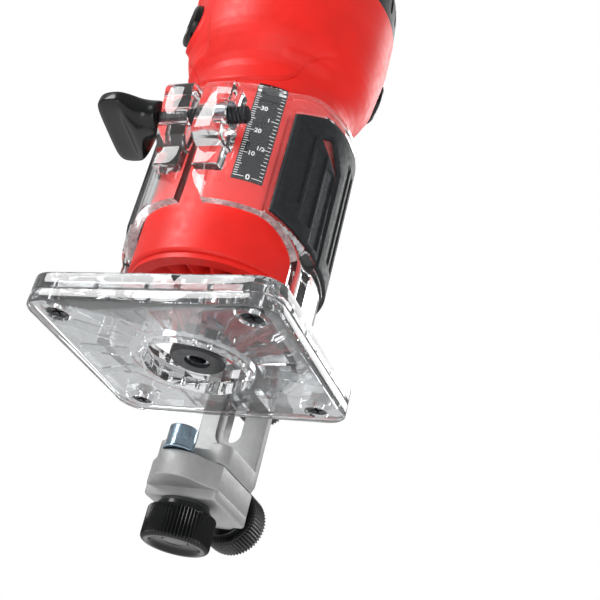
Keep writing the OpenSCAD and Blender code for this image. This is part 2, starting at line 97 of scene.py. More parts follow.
class Shader:
    """One Principled material, with short calls for its noise, bump and mixes."""

    def __init__(self, name, colour, rough, metal=0.0, **sockets):
        self.mat = bpy.data.materials.new(name)
        self.mat.use_nodes = True
        self.nodes = self.mat.node_tree.nodes
        self.links = self.mat.node_tree.links
        self.bsdf = self.nodes["Principled BSDF"]
        self.colour = colour
        sockets.update(Base_Color=colour, Roughness=rough, Metallic=metal)
        for socket, value in sockets.items():
            self.bsdf.inputs[socket.replace("_", " ")].default_value = value
        self.place = self.nodes.new("ShaderNodeTexCoord").outputs["Object"]
        self.height = None

    def noise(self, size_mm, detail=3.0, stretch=(1, 1, 1)):
        """A noise whose blobs are about size_mm across."""
        scale = self.nodes.new("ShaderNodeMapping")
        scale.inputs["Scale"].default_value = [s / (size_mm * MM) for s in stretch]
        self.links.new(self.place, scale.inputs["Vector"])
        tex = self.nodes.new("ShaderNodeTexNoise")
        tex.inputs["Scale"].default_value = 1.0
        tex.inputs["Detail"].default_value = detail
        self.links.new(scale.outputs["Vector"], tex.inputs["Vector"])
        return tex.outputs["Fac"]

    def waves(self, size_mm, direction="Z"):
        """Even stripes across one axis, size_mm apart."""
        tex = self.nodes.new("ShaderNodeTexWave")
        tex.bands_direction = direction
        tex.inputs["Scale"].default_value = math.pi / (10 * size_mm * MM)
        self.links.new(self.place, tex.inputs["Vector"])
        return tex.outputs["Fac"]

    def vary_colour(self, fac, darker, lighter):
        """Shades the colour between two multiples of itself."""
        ramp = self.nodes.new("ShaderNodeValToRGB")
        low, high = ramp.color_ramp.elements
        low.position, high.position = NOISE_LOW, NOISE_HIGH
        low.color = [c * darker for c in self.colour[:3]] + [1]
        high.color = [min(1, c * lighter) for c in self.colour[:3]] + [1]
        self.links.new(fac, ramp.inputs["Fac"])
        self.links.new(ramp.outputs["Color"], self.bsdf.inputs["Base Color"])

    def vary_rough(self, fac, low, high):
        span = self.nodes.new("ShaderNodeMapRange")
        for socket, value in (("From Min", NOISE_LOW), ("From Max", NOISE_HIGH),
                              ("To Min", low), ("To Max", high)):
            span.inputs[socket].default_value = value
        self.links.new(fac, span.inputs["Value"])
        self.links.new(span.outputs["Result"], self.bsdf.inputs["Roughness"])

    def bump(self, fac, depth_mm, strength=1.0):
        node = self.nodes.new("ShaderNodeBump")
        node.inputs["Distance"].default_value = depth_mm * MM
        node.inputs["Strength"].default_value = strength
        self.links.new(fac, node.inputs["Height"])
        if self.height:
            self.links.new(self.height, node.inputs["Normal"])
        self.height = node.outputs["Normal"]
        self.links.new(self.height, self.bsdf.inputs["Normal"])


def look(name, colour, rough, metal=0.0, tint=None, polish=None, bumps=(), **sockets):
    """A material with noise in it.

    tint is (noise, darkest, lightest), polish is (noise, smoothest, roughest) and each bump is
    (noise, depth, strength), where noise holds the arguments of Shader.noise.
    """
    s = Shader(name, colour, rough, metal, **sockets)
    if tint:
        s.vary_colour(s.noise(*tint[0]), *tint[1:])
    if polish:
        s.vary_rough(s.noise(*polish[0]), *polish[1:])
    for noise, depth, strength in bumps:
        s.bump(s.noise(*noise), depth, strength)
    return s.mat


def laminations():
    s = Shader("laminated_steel", srgb(120, 122, 126), 0.4, 1.0)
    s.vary_colour(s.waves(0.5), 0.7, 1.1)
    s.bump(s.waves(0.5), 0.05, 0.6)
    return s.mat


def copper():
    s = Shader("copper_winding", srgb(190, 105, 58), 0.3, 0.9)
    s.vary_colour(s.noise(1.5, 3), 0.75, 1.15)
    s.bump(s.waves(0.6, "X"), 0.1, 0.6)
    return s.mat


MOULDED = {"polish": ((9, 2), 0.0, 0.05), "bumps": [((14, 1.5), 0.25, 0.12)], "IOR": 1.5}

LOOKS = {
    "clear_base": look("clear_polycarbonate", (0.93, 0.945, 0.95, 1), 0.02,
                       Transmission_Weight=0.99, **MOULDED),
    "grip_rubber": look("grip_rubber", srgb(27, 30, 33), 0.6, Specular_IOR_Level=0.3,
                        tint=((2.5, 4), 0.8, 1.25), polish=((1.2, 4), 0.46, 0.68),
                        bumps=[((0.3, 3), 0.05, 0.6)]),
    "black_plastic": look("gloss_black_plastic", srgb(13, 14, 15), 0.2, Coat_Weight=0.05,
                          Coat_Roughness=0.08, Specular_IOR_Level=0.28,
                          polish=((4, 5), 0.14, 0.26), bumps=[((6, 2), 0.05, 0.25)]),
    "matt_black_plastic": look("matt_black_plastic", srgb(30, 32, 34), 0.5,
                               tint=((5, 3), 0.85, 1.15), polish=((1.5, 3), 0.42, 0.58),
                               bumps=[((0.25, 2), 0.03, 0.6)]),
    "red_shell": look("red_housing", srgb(218, 27, 18), 0.42, Specular_IOR_Level=0.34,
                      tint=((12, 2), 0.94, 1.05), polish=((3, 4), 0.38, 0.5),
                      bumps=[((0.35, 2), 0.02, 0.5)]),
    "scale_print": look("scale_plate", srgb(17, 20, 24), 0.4, Specular_IOR_Level=0.2,
                        tint=((3, 3), 0.85, 1.1), polish=((2, 3), 0.3, 0.42)),
    "cast_metal": look("cast_aluminium", srgb(158, 159, 158), 0.5, 0.55,
                       tint=((7, 4), 0.86, 1.06), polish=((1.2, 5), 0.42, 0.62),
                       bumps=[((0.45, 4), 0.05, 0.7), ((4, 2), 0.12, 0.3)]),
    "zinc_steel": look("bright_zinc", srgb(186, 190, 196), 0.22, 1.0,
                       polish=((1.5, 4), 0.16, 0.32), bumps=[((0.6, 3), 0.02, 0.4)]),
    "blue_zinc": look("blue_zinc", srgb(150, 170, 184), 0.16, 1.0,
                      tint=((1.2, 4, (1, 1, 0.15)), 0.75, 1.1),
                      polish=((0.8, 3, (1, 1, 0.2)), 0.1, 0.26)),
    "black_steel": look("black_oxide_steel", srgb(38, 39, 42), 0.34, 0.6,
                        tint=((2, 4), 0.7, 1.3), polish=((1.2, 4), 0.26, 0.44)),
    "lamination": laminations(),
    "copper": copper(),
    "brass": look("turned_brass", srgb(200, 165, 90), 0.26, 1.0, polish=((1.5, 4), 0.2, 0.36)),
    "carbon": look("pressed_carbon", srgb(44, 44, 46), 0.6, tint=((0.6, 4), 0.7, 1.4)),
    "film_yellow": look("capacitor_film", srgb(214, 168, 40), 0.25,
                        polish=((3, 2), 0.2, 0.35)),
}
HAZY = look("hazy_polycarbonate", (0.75, 0.765, 0.775, 1), 0.02, Transmission_Weight=0.97,
            **MOULDED)
FROSTED = look("frosted_edge", (0.9, 0.9, 0.91, 1), 0.3, Transmission_Weight=0.55, IOR=1.5,
               tint=((2.2, 4), 0.55, 1.1), polish=((3, 3), 0.12, 0.45),
               bumps=[((1.6, 3), 0.12, 0.5)])
WHITE = look("white_print", srgb(238, 240, 240), 0.45, tint=((0.8, 3), 0.9, 1.0))


# ---- mesh building ----

POINTS_PER_RIB = 8


def polar(az, r, z):
    a = math.radians(az)
    return Vector((r * math.sin(a), -r * math.cos(a), z))


def spoke(i, n, r, z):
    """Point i of n round a circle about +Z."""
    a = 2 * math.pi * i / n
    return Vector((r * math.cos(a), r * math.sin(a), z))


def shift(x, y, z=0):
    return Matrix.Translation((x, y, z))


def aimed(start, direction, forward="Z"):
    """The placing of an object at start, with one of its axes along a direction."""
    turn = Vector(direction).to_track_quat(forward, "Y").to_matrix().to_4x4()
    return Matrix.Translation(start) @ turn


def along(line, x):
    """Height at x of a line through (x, height) points, level beyond its ends."""
    for (x0, z0), (x1, z1) in zip(line, line[1:]):
        if x <= x1:
            return z0 + (z1 - z0) * max(0.0, x - x0) / (x1 - x0)
    return line[-1][1]


def smooth(x, a, b):
    """0 below a, 1 above b, and a smooth rise between."""
    t = min(1.0, max(0.0, (x - a) / (b - a)))
    return t * t * (3 - 2 * t)


def steps(a, b, n):
    return [a + (b - a) * i / n for i in range(n + 1)]


def eased(a, b, n, edge, fine=4):
    """Grid lines from a to b: even inside, and close together within edge of both ends."""
    turn = [1 - math.cos(math.pi / 2 * i / fine) for i in range(fine)]
    near = [a + edge * t for t in turn]
    far = [b - edge * t for t in reversed(turn)]
    return near + steps(a + edge, b - edge, n) + far


def rounding(distance, radius):
    """How far a face has dropped at a distance from its rounded edge."""
    if distance >= radius:
        return 0.0
    return radius - math.sqrt(max(0.0, radius ** 2 - (radius - distance) ** 2))


def placed(name, data):
    """A new object in the scene."""
    obj = bpy.data.objects.new(name, data)
    bpy.context.scene.collection.objects.link(obj)
    return obj


def evaluated(obj):
    """A new mesh of what the object looks like, with its modifiers."""
    bpy.context.view_layer.update()
    graph = bpy.context.evaluated_depsgraph_get()
    return bpy.data.meshes.new_from_object(obj.evaluated_get(graph))


def mesh_from(name, points, faces):
    """An object from points in millimetres, with its faces turned outwards."""
    mesh = bpy.data.meshes.new(name)
    mesh.from_pydata([Vector(p) * MM for p in points], [], faces)
    mesh.validate()
    obj = placed(name, mesh)
    bm = bmesh.new()
    bm.from_mesh(mesh)
    bmesh.ops.remove_doubles(bm, verts=bm.verts, dist=1e-6)
    bmesh.ops.recalc_face_normals(bm, faces=bm.faces)
    bm.to_mesh(mesh)
    bm.free()
    return obj


def stacked(name, rings):
    """A closed solid from rings of equally many points: skin between them, caps at both ends."""
    n = len(rings[0])
    points = [p for ring in rings for p in ring]
    top = len(points) - n
    faces = []
    for row in range(0, top, n):
        for i in range(n):
            a, b = row + i, row + (i + 1) % n
            faces.append((a, b, b + n, a + n))
    faces += [tuple(range(n)), tuple(range(top, top + n))]
    return mesh_from(name, points, faces)


def tube(name, rings):
    """A closed solid from rings of equally many points, with the last joined to the first."""
    n = len(rings[0])
    points = [p for ring in rings for p in ring]
    faces = []
    for row in range(0, len(points), n):
        up = (row + n) % len(points)
        for a in range(n):
            b = (a + 1) % n
            faces.append((row + a, row + b, up + b, up + a))
    return mesh_from(name, points, faces)


def slab(name, us, vs, outer, inner):
    """A closed solid between two sheets, outer(u, v) and inner(u, v), on one grid."""
    n, m = len(us), len(vs)
    points = [f(u, v) for f in (outer, inner) for v in vs for u in us]
    back = n * m
    faces = []
    for j in range(m - 1):
        for i in range(n - 1):
            a = j * n + i
            faces.append((a, a + 1, a + n + 1, a + n))
            faces.append((back + a, back + a + n, back + a + n + 1, back + a + 1))
    rim = list(range(n)) + [j * n + n - 1 for j in range(1, m)]
    rim += [(m - 1) * n + i for i in range(n - 2, -1, -1)]
    rim += [j * n for j in range(m - 2, 0, -1)]
    for a, b in zip(rim, rim[1:] + rim[:1]):
        faces.append((a, b, back + b, back + a))
    return mesh_from(name, points, faces)


def turned(name, profile, segments=96, place=IDENTITY, ribs=None):
    """A solid of revolution about +Z from a closed list of (radius, z) points.

    ribs is (count, depth, low z, high z, radius): a knurl on what lies beyond that radius
    between the two heights.
    """
    n = ribs[0] * POINTS_PER_RIB if ribs else segments
    rings = []
    for r, z in profile:
        depth = ribs[1] if ribs and ribs[2] < z < ribs[3] and r > ribs[4] else 0.0
        ring = []
        for i in range(n):
            wave = 0.5 - 0.5 * math.cos(2 * math.pi * i / POINTS_PER_RIB)
            ring.append(place @ spoke(i, n, r - depth * wave, z))
        rings.append(ring)
    return tube(name, rings)


def disc(name, r, z0, z1, segments, place=IDENTITY):
    return turned(name, [(0, z0), (r, z0), (r, z1), (0, z1)], segments, place)


def rounded_outline(x0, x1, y0, y1, r, n=8):
    """Points round a rectangle with corner radius r."""
    corners = ((x1 - r, y1 - r, 0), (x0 + r, y1 - r, 90), (x0 + r, y0 + r, 180),
               (x1 - r, y0 + r, 270))
    points = []
    for cx, cy, start in corners:
        for i in range(n + 1):
            a = math.radians(start + 90 * i / n)
            points.append((cx + r * math.cos(a), cy + r * math.sin(a)))
    return points


def shrunk(outline, d):
    """The outline of a convex shape moved in by about d, towards its middle."""
    xs, ys = [p[0] for p in outline], [p[1] for p in outline]
    cx, cy = (min(xs) + max(xs)) / 2, (min(ys) + max(ys)) / 2
    hx, hy = (max(xs) - min(xs)) / 2, (max(ys) - min(ys)) / 2
    return [(cx + (x - cx) * (hx - d) / hx, cy + (y - cy) * (hy - d) / hy)
            for x, y in outline]


def pillow(name, outline, z0, z1, edge, place=IDENTITY, fine=3):
    """An outline extruded from z0 to z1 with its two rims rounded by edge."""
    rings = []
    for i in range(fine + 1):
        a = math.pi / 2 * i / fine
        rings.append((edge * (1 - math.sin(a)), z0 + edge * (1 - math.cos(a))))
    rings += [(d, z0 + z1 - z) for d, z in reversed(rings)]
    return stacked(name, [[place @ Vector((x, y, z)) for x, y in shrunk(outline, d)]
                          for d, z in rings])


def block(name, x0, x1, y0, y1, z0, z1, edge=0.4, corner=None):
    corner = corner or edge * 1.5
    return pillow(name, rounded_outline(x0, x1, y0, y1, corner, 4), z0, z1, edge)


def rod(name, r, start, end, segments=48):
    line = Vector(end) - Vector(start)
    place = aimed(start, line)
    return stacked(name, [[place @ spoke(i, segments, r, z) for i in range(segments)]
                          for z in (0, line.length)])


def combine(target, others, operation):
    """Booleans of target with the others, one after another; the others are used up."""
    for other in others:
        mod = target.modifiers.new("cut", "BOOLEAN")
        mod.operation = operation
        mod.object = other
        mod.solver = "EXACT"
        mesh = evaluated(target)
        target.modifiers.clear()
        old = target.data
        target.data = mesh
        bpy.data.meshes.remove(old)
        bpy.data.objects.remove(other)


def fuse(target, parts):
    combine(target, parts, "UNION")


def cut(target, tools):
    combine(target, tools, "DIFFERENCE")


def joined(name, parts):
    """One object from several meshes, without a boolean."""
    bm = bmesh.new()
    for part in parts:
        bm.from_mesh(part.data)
    whole = parts[0]
    bm.to_mesh(whole.data)
    bm.free()
    for part in parts[1:]:
        bpy.data.objects.remove(part)
    whole.name = name
    return whole


def finish_piece(obj, body, slot, material=None, replaces=(), sharp=32, bevel=0.0):
    """Shading, edge rounding, material by slot, body, and hiding the CAD nodes it stands for."""
    obj.data.materials.clear()
    obj.data.materials.append(material or LOOKS[slot])
    if bevel:
        tidy_faces(obj)
        mod = obj.modifiers.new("edges", "BEVEL")
        mod.width = bevel * MM
        mod.segments = 2
        mod.limit_method = "ANGLE"
        mod.angle_limit = math.radians(sharp)
    obj.data.shade_smooth()
    obj.data.set_sharp_from_angle(angle=math.radians(sharp))
    if slot == "clear_base":
        obj.visible_shadow = False
    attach(obj, body)
    if replaces:
        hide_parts(*replaces)
    return obj


def tidy_faces(obj):
    """Joins the flat neighbours that a boolean leaves in pieces."""
    bm = bmesh.new()
    bm.from_mesh(obj.data)
    bmesh.ops.remove_doubles(bm, verts=bm.verts, dist=2e-6)
    bmesh.ops.dissolve_limit(bm, angle_limit=math.radians(1.0), verts=bm.verts,
                             edges=bm.edges)
    bm.to_mesh(obj.data)
    bm.free()


# ---- clear base ----

RIB_AZ = (-104, -80, -58, -40, -24, 0, 14, 28, 42, 56, 70, 84, 104)
NOTCH_X = 10.3
SPLIT_LEFT = -9.3
SPLIT_RIGHT = -2.9
PLATE = rounded_outline(-46, 46, -45, 37.7, 8.5, 10)
FROSTED_SLOT = 1
HAZY_SLOT = 2
RIM_Z = 98.0
LEG_AZ = 70.4
WINDOWS = ((109.0, 154.0), (206.0, 251.0))
WINDOW_LOW = 12
WINDOW_HIGH = 44
SPLIT_REACH = 40  # how far the slant of the split bends the collar's grid, in degrees
GRIP_RIGHT = 44.2
GRIP_LEFT = 55.0
GRIP_REAR = 131.8
GRIP_T = 1.65
# height of the grips' lower edge, by Y
GRIP_LOW = [(-40, 53.0), (-18, 45.0), (-4, 39.5), (12, 37.0), (60, 37.0)]
COLLAR_DEG = 0.63  # length of one degree on the collar
GRIP_DEG = 0.65  # and on a grip


def arch_top(x):
    """Height of the arch edge at x, with its rounded corners."""
    past = min(ARCH_CORNER, max(0.0, abs(x) - ARCH_FLAT))
    return ARCH_SPRING + math.sqrt(ARCH_CORNER ** 2 - past ** 2)


def rim_top(az):
    """Height of the collar rim: low at the front and the back, higher at the sides."""
    side = abs(math.sin(math.radians(az)))
    return RIM_Z + 4.3 * smooth(side, 0.55, 0.88)


def arch_distance(x, z):
    """Distance outside the arch edge, in the plane of X and Z."""
    past = max(0.0, abs(x) - ARCH_FLAT)
    return math.hypot(past, max(0.0, z - ARCH_SPRING)) - ARCH_CORNER


def grip_high(y):
    """Upper edge of the grips, which rises from the front and then runs level."""
    return 96.0 - 0.56 * max(0.0, -16.0 - y)


def grip_front(az):
    """Azimuth of the front edge of the grip on that side, counted from the front."""
    return GRIP_LEFT if az < 0 else GRIP_RIGHT


def in_grip(side, z, front, low, high, margins):
    """Degrees from a point to the outline of a grip, moved out at its four edges."""
    before, behind, below, above = margins
    return min(side - front + before, GRIP_REAR + behind - side,
               (z - low + below) / COLLAR_DEG, (high + above - z) / COLLAR_DEG)


def collar_radius(az, z):
    """Outer surface of the collar: brow over the arch, ridge round the grips, lip and rim."""
    x, y, _ = polar(az, COLLAR_R, 0)
    gap = arch_distance(x, z)
    low, high = along(GRIP_LOW, y), grip_high(y)
    brow = smooth(gap, 0.4, 2.2) * (1 - smooth(gap, 6.2, 8.2)) * smooth(abs(x), 19, 23)
    brow *= (1 - smooth(y, -7, -4)) * (1 - smooth(z, low - 2.0, low - 0.2))
    edges = (abs(az), z, grip_front(az), low, high)
    ridge = smooth(in_grip(*edges, (3.4, 2.7, 1.6, 2.2)), -1.2, 1.0)
    ridge *= 1 - smooth(in_grip(*edges, (0.6, 0.6, -0.2, 0.3)), -0.9, 0.6)
    lip = smooth(z, max(94.0, high + 2.2), max(95.2, high + 3.2))
    r = COLLAR_R + 2.7 * brow + 0.7 * ridge + 0.5 * lip
    return r - rounding(max(0.0, rim_top(az) - z), 1.0)


def clear_collar():
    """The collar with its arch, legs, rear windows and slanted split, as one closed solid."""
    legs = steps(9.5, 34.8, 36)
    rim = [97.0, 97.3, 97.6, 97.8, 97.92, RIM_Z]
    rows = legs + steps(ARCH_SPRING, WINDOW_HIGH, 18)[1:] + steps(45, 96.5, 86) + rim
    base_row = len(legs) - 1
    edges = [0.0, LEG_AZ, *WINDOWS[0], *WINDOWS[1], 360 - LEG_AZ, 360.0]
    us = []
    for a, b in zip(edges, edges[1:]):
        us += steps(a, b, max(2, round((b - a) / 0.85)))[:-1]
    us.append(360.0)

    def in_arch(u):
        return u < LEG_AZ or u > 360 - LEG_AZ

    def in_window(u):
        return any(a < u < b for a, b in WINDOWS)

    def z_at(az, j):
        v = rows[j]
        if j < base_row:
            return v
        edge = arch_top(polar(az, COLLAR_R, 0).x) if in_arch(az) else ARCH_SPRING
        return edge + (v - ARCH_SPRING) / (RIM_Z - ARCH_SPRING) * (rim_top(az) - edge)

    def az_at(u, z):
        """The split: its flanks spread into an inverted V at the foot."""
        flare = 1 - smooth(z, 45, 58)
        right = SPLIT_RIGHT + 9.8 * flare
        left = SPLIT_LEFT - 0.5 * flare
        far = 360 - SPLIT_REACH
        if u < SPLIT_REACH:
            return right + (SPLIT_REACH - right) * u / SPLIT_REACH
        if u > far:
            return far + (SPLIT_REACH + left) * (u - far) / SPLIT_REACH
        return u

    def kept(i, j):
        u = (us[i] + us[i + 1]) / 2
        v = (rows[j] + rows[j + 1]) / 2
        if j < base_row:
            return not in_arch(u) and not (in_window(u) and v > WINDOW_LOW)
        return not (in_window(u) and v < WINDOW_HIGH)

    points, index, faces = [], {}, []

    def point(i, j, outer):
        key = (i, j, outer)
        if key not in index:
            z = z_at(us[i], j)
            az = az_at(us[i], z)
            wide = az if az <= 180 else az - 360
            index[key] = len(points)
            points.append(polar(az, collar_radius(wide, z) if outer else COLLAR_IN, z))
        return index[key]

    cells = {(i, j) for i in range(len(us) - 1) for j in range(len(rows) - 1) if kept(i, j)}
    for i, j in sorted(cells):
        ring = [(i, j), (i + 1, j), (i + 1, j + 1), (i, j + 1)]
        faces.append([point(a, b, True) for a, b in ring])
        faces.append([point(a, b, False) for a, b in reversed(ring)])
        beside = [(i, j - 1), (i + 1, j), (i, j + 1), (i - 1, j)]
        for k in range(4):
            if beside[k] not in cells:
                p, q = ring[k], ring[(k + 1) % 4]
                faces.append([point(*q, True), point(*p, True), point(*p, False),
                              point(*q, False)])
    return mesh_from("collar_part", points, faces)


def lug(x0, x1, taper):
    """One ear of the clamp, standing forward of the collar."""
    rings = []
    for x, d in ((x0, 0.9), (x0 + 0.3, 0.3), (x0 + 0.9, 0.0), (x1 - 0.9, 0.0), (x1 - 0.3, 0.3),
                 (x1, 0.9)):
        outline = []
        for y, z in rounded_outline(-46.5 + d, -31.5, 66 + d, 91 - d, 3.6 - d, 6):
            low = smooth(78 - z, 0, 12) * taper
            outline.append(Vector((x, y + low * smooth(-y, 34, 46), z)))
        rings.append(outline)
    return stacked("lug_part", rings)


def flange_rib(az, r0, r1, width, z0, z1):
    """An upright rib under the flange top, along a radius."""
    turn = Matrix.Rotation(math.radians(az), 4, "Z")
    outline = rounded_outline(-width / 2, width / 2, -r1, -r0, width / 2.2, 3)
    return pillow("rib_part", outline, z0, z1, 0.3, turn, 2)


def clear_flange():
    """Upper layer of the sole: hollows underneath between its rim, ring, ribs and bosses."""
    body = pillow("clear_base", PLATE, SUB_BASE_T + SEAM, FLANGE_Z, 0.7)
    rim = shrunk(PLATE, 3.2)
    pocket = stacked("pocket", [[Vector((x, y, z)) for x, y in rim] for z in (4, 8.4)])
    keep = [disc("ring", OPENING_R + 5, 3, 9, 120),
            block("back", -15, 15, 0, 39, 3, 9, 0.1)]
    for x, y in SCREWS:
        keep.append(disc("boss", 6.4, 3, 9, 40, shift(x, y)))
    for az in RIB_AZ:
        keep.append(flange_rib(az, 20, 68, 1.6, 3, 9))
    cut(pocket, keep)
    cut(body, [pocket])
    return body


def build_base():
    base = clear_flange()
    parts = [clear_collar(), block("pad", -14, 14, 31.5, 37.7, FLANGE_Z - 1.5, 50, 0.6)]
    for x0, x1, taper in ((-17.2, -5.6, 5.0), (-1.6, 10.0, 0.0)):
        parts.append(lug(x0, x1, taper))
        parts.append(block("foot", x0, x1 - 1.2, -39.6, -33.5, 58.5, 70, 0.8))
    fuse(base, parts)
    tools = [disc("bore", COLLAR_IN, FLANGE_Z, 120, 180),
             disc("hole", OPENING_R + 2, 0, 14, 96),
             rod("bolt_hole", 3.3, (-30, CLAMP_Y, CLAMP_Z), (14, CLAMP_Y, CLAMP_Z)),
             rod("nut_room", 5.2, (5, CLAMP_Y, CLAMP_Z), (14, CLAMP_Y, CLAMP_Z)),
             rod("lock_hole", 3.1, (0, 20, LOCK_Z), (0, 60, LOCK_Z)),
             rod("lock_nut_room", 5.2, (0, 20, LOCK_Z), (0, 34.2, LOCK_Z))]
    for x, y in SCREWS:
        tools.append(rod("pilot", 2.05, (x, y, 3), (x, y, FLANGE_Z - 0.4), 24))
    tools.append(block("split", -5.4, -1.8, -60, -31, 58, 120, 0.05))
    cut(base, tools)
    finish_piece(base, "base", "clear_base", replaces=["base_housing"], sharp=28)
    base.data.materials.append(FROSTED)
    base.data.materials.append(HAZY)
    for face in base.data.polygons:
        middle = face.center / MM
        if middle.z < FLANGE_Z + 0.1:
            face.material_index = HAZY_SLOT
        if face.normal.z < -0.4 and middle.y < -12 and 30 < middle.z < ARCH_Z + 1.5:
            face.material_index = FROSTED_SLOT


def build_sole():
    """Screwed-on sole plate with sunk screw holes and a faceted ring round the opening."""
    sole = pillow("clear_sole", PLATE, 0, SUB_BASE_T - SEAM, 0.8)
    tools = [disc("hole", OPENING_R, -1, 6, 96)]
    sink = [(0, -1), (4.4, -1), (4.4, 0.8), (2.2, 2.9), (2.2, 6), (0, 6)]
    for x, y in SCREWS:
        tools.append(turned("sink", sink, 40, shift(x, y)))
    for az in range(8, 360, 15):
        tools.append(rod("facet", 0.9, polar(az, OPENING_R + 0.6, 1.2),
                         polar(az, OPENING_R + 0.6, 6), 12))
    cut(sole, tools)
    finish_piece(sole, "base", "clear_base", HAZY, ["sub_base"], sharp=28)


def build_notch():
    """Black V wedge on the front edge of the base: painted shade where the V notch is."""
    outline = [Vector((NOTCH_X - 1.8, -45, 10.2)), Vector((NOTCH_X + 1.8, -45, 10.2)),
               Vector((NOTCH_X, -45, 7.6))]
    rings = [[p + Vector((0, d, 0)) for p in outline] for d in (0.0, 0.5)]
    # painted shade: a black solid stands in for the shade in the V notch, which is not cut
    mark = stacked("painted_notch_shade", rings)
    finish_piece(mark, "base", "black_plastic", LOOKS["matt_black_plastic"])


def build_sole_screws():
    head = [(0, 1.1), (2.2, 1.0), (3.7, 1.0), (4.05, 1.25), (3.9, 1.5), (2.0, 3.2),
            (2.0, 10.4), (0, 10.4)]
    parts = []
    for x, y in SCREWS:
        screw = turned("screw", head, 40, shift(x, y))
        cut(screw, [block("slot", x - w / 2, x + w / 2, y - h / 2, y + h / 2, 0.5, 2.6, 0.1)
                    for w, h in ((4.6, 1.0), (1.0, 4.6))])
        parts.append(screw)
    finish_piece(joined("sole_screws", parts), "base", "black_steel",
                 replaces=["sub_base_screws"])


def groove_edges(z):
    """Azimuths of the two edges of the groove that bends across a grip, at a height."""
    bend = 77.0
    near = 80.1 + 0.06 * (bend - z) if z < bend else 80.1 - 1.84 * (z - bend)
    far = 84.6 - 1.26 * max(0.0, z - 79.5)
    return near, far


def groove_top(side):
    """Height at which the bent groove ends, by azimuth."""
    return 86.9 + 0.407 * (side - 62.3)


# saw-toothed steps across the grips: first and last azimuth, lowest and highest point
GRIP_STEPS = [(52.4, 59.6, 56.0, 86.0), (61.0, 70.0, 50.0, 81.6), (71.2, 79.6, 44.5, 76.6)]
GRIP_STEPS += [(az, az + 7.0, 46.0, 88.0) for az in (90.0, 99.0, 108.0, 117.0)]


def grip_depth(side, z):
    """Surface of a grip above the collar: sunk steps and a bent groove."""
    depth = GRIP_T
    for a, b, low, high in GRIP_STEPS:
        if a < side < b:
            inside = smooth(z, low - 0.4, low + 0.4) * (1 - smooth(z, high - 0.4, high + 0.4))
            slope = 0.25 + 0.75 * (side - a) / (b - a)
            depth -= 0.8 * slope * inside * smooth(side, a, a + 0.8)
    near, far = groove_edges(z)
    groove = smooth(side, near - 0.3, near + 0.3) * (1 - smooth(side, far - 0.3, far + 0.3))
    depth -= 0.95 * groove * (1 - smooth(z, groove_top(side) - 0.4, groove_top(side) + 0.4))
    return depth


def grip_window(sign):
    """Cutter for the narrow slanted window at the upper end of the groove."""
    turn = grip_front(sign) - GRIP_RIGHT
    near = [(groove_edges(z)[0] + 0.5, z) for z in steps(74.0, 86.6, 12)]
    far = [(groove_edges(z)[1] - 0.5, z) for z in steps(89.3, 75.0, 12)]
    return stacked("window", [[polar(sign * (az + turn), r, z) for az, z in near + far]
                              for r in (COLLAR_R - 0.6, COLLAR_R + 3.0)])


def build_grip(name, node, sign):
    front = grip_front(sign)

    def rows(az):
        _, y, _ = polar(az, COLLAR_R, 0)
        return along(GRIP_LOW, y) + 0.3, grip_high(y) - 0.2

    def outer(u, v):
        low, high = rows(u)
        z = low + (high - low) * v
        from_front = (u - front) * GRIP_DEG
        nearest = min(from_front, (GRIP_REAR - u) * GRIP_DEG, z - low, high - z)
        bevel = 0.3 * (1 - smooth(from_front, 1.4, 2.0))
        height = grip_depth(u + GRIP_RIGHT - front, z) - rounding(nearest, 1.1) - bevel
        return polar(sign * u, COLLAR_R + max(0.35, height), z)

    def inner(u, v):
        low, high = rows(u)
        return polar(sign * u, COLLAR_R + 0.03, low + (high - low) * v)

    grip = slab(name, eased(front, GRIP_REAR, 168, 1.6), eased(0, 1, 104, 0.03), outer, inner)
    cut(grip, [grip_window(sign)])
    finish_piece(grip, "base", "grip_rubber", replaces=[node], sharp=50)


# ---- clamp ----

def threaded(name, r, pitch, depth, start, end, plain=0.0):
    """A screw from start to end, threaded after the first plain millimetres."""
    line = Vector(end) - Vector(start)
    place = aimed(start, line)
    rows = round(line.length / pitch * 8)
    n = 24
    rings = []
    for z in steps(0, line.length, rows):
        chamfer = 0.5 * (1 - smooth(line.length - z, 0, 0.6)) + 0.3 * (1 - smooth(z, 0, 0.4))
        ring = []
        for i in range(n):
            phase = (z / pitch - i / n) % 1.0
            groove = depth * (1 - abs(2 * phase - 1)) if z > plain else 0.0
            ring.append(place @ spoke(i, n, r - groove - chamfer, z))
        rings.append(ring)
    return stacked(name, rings)


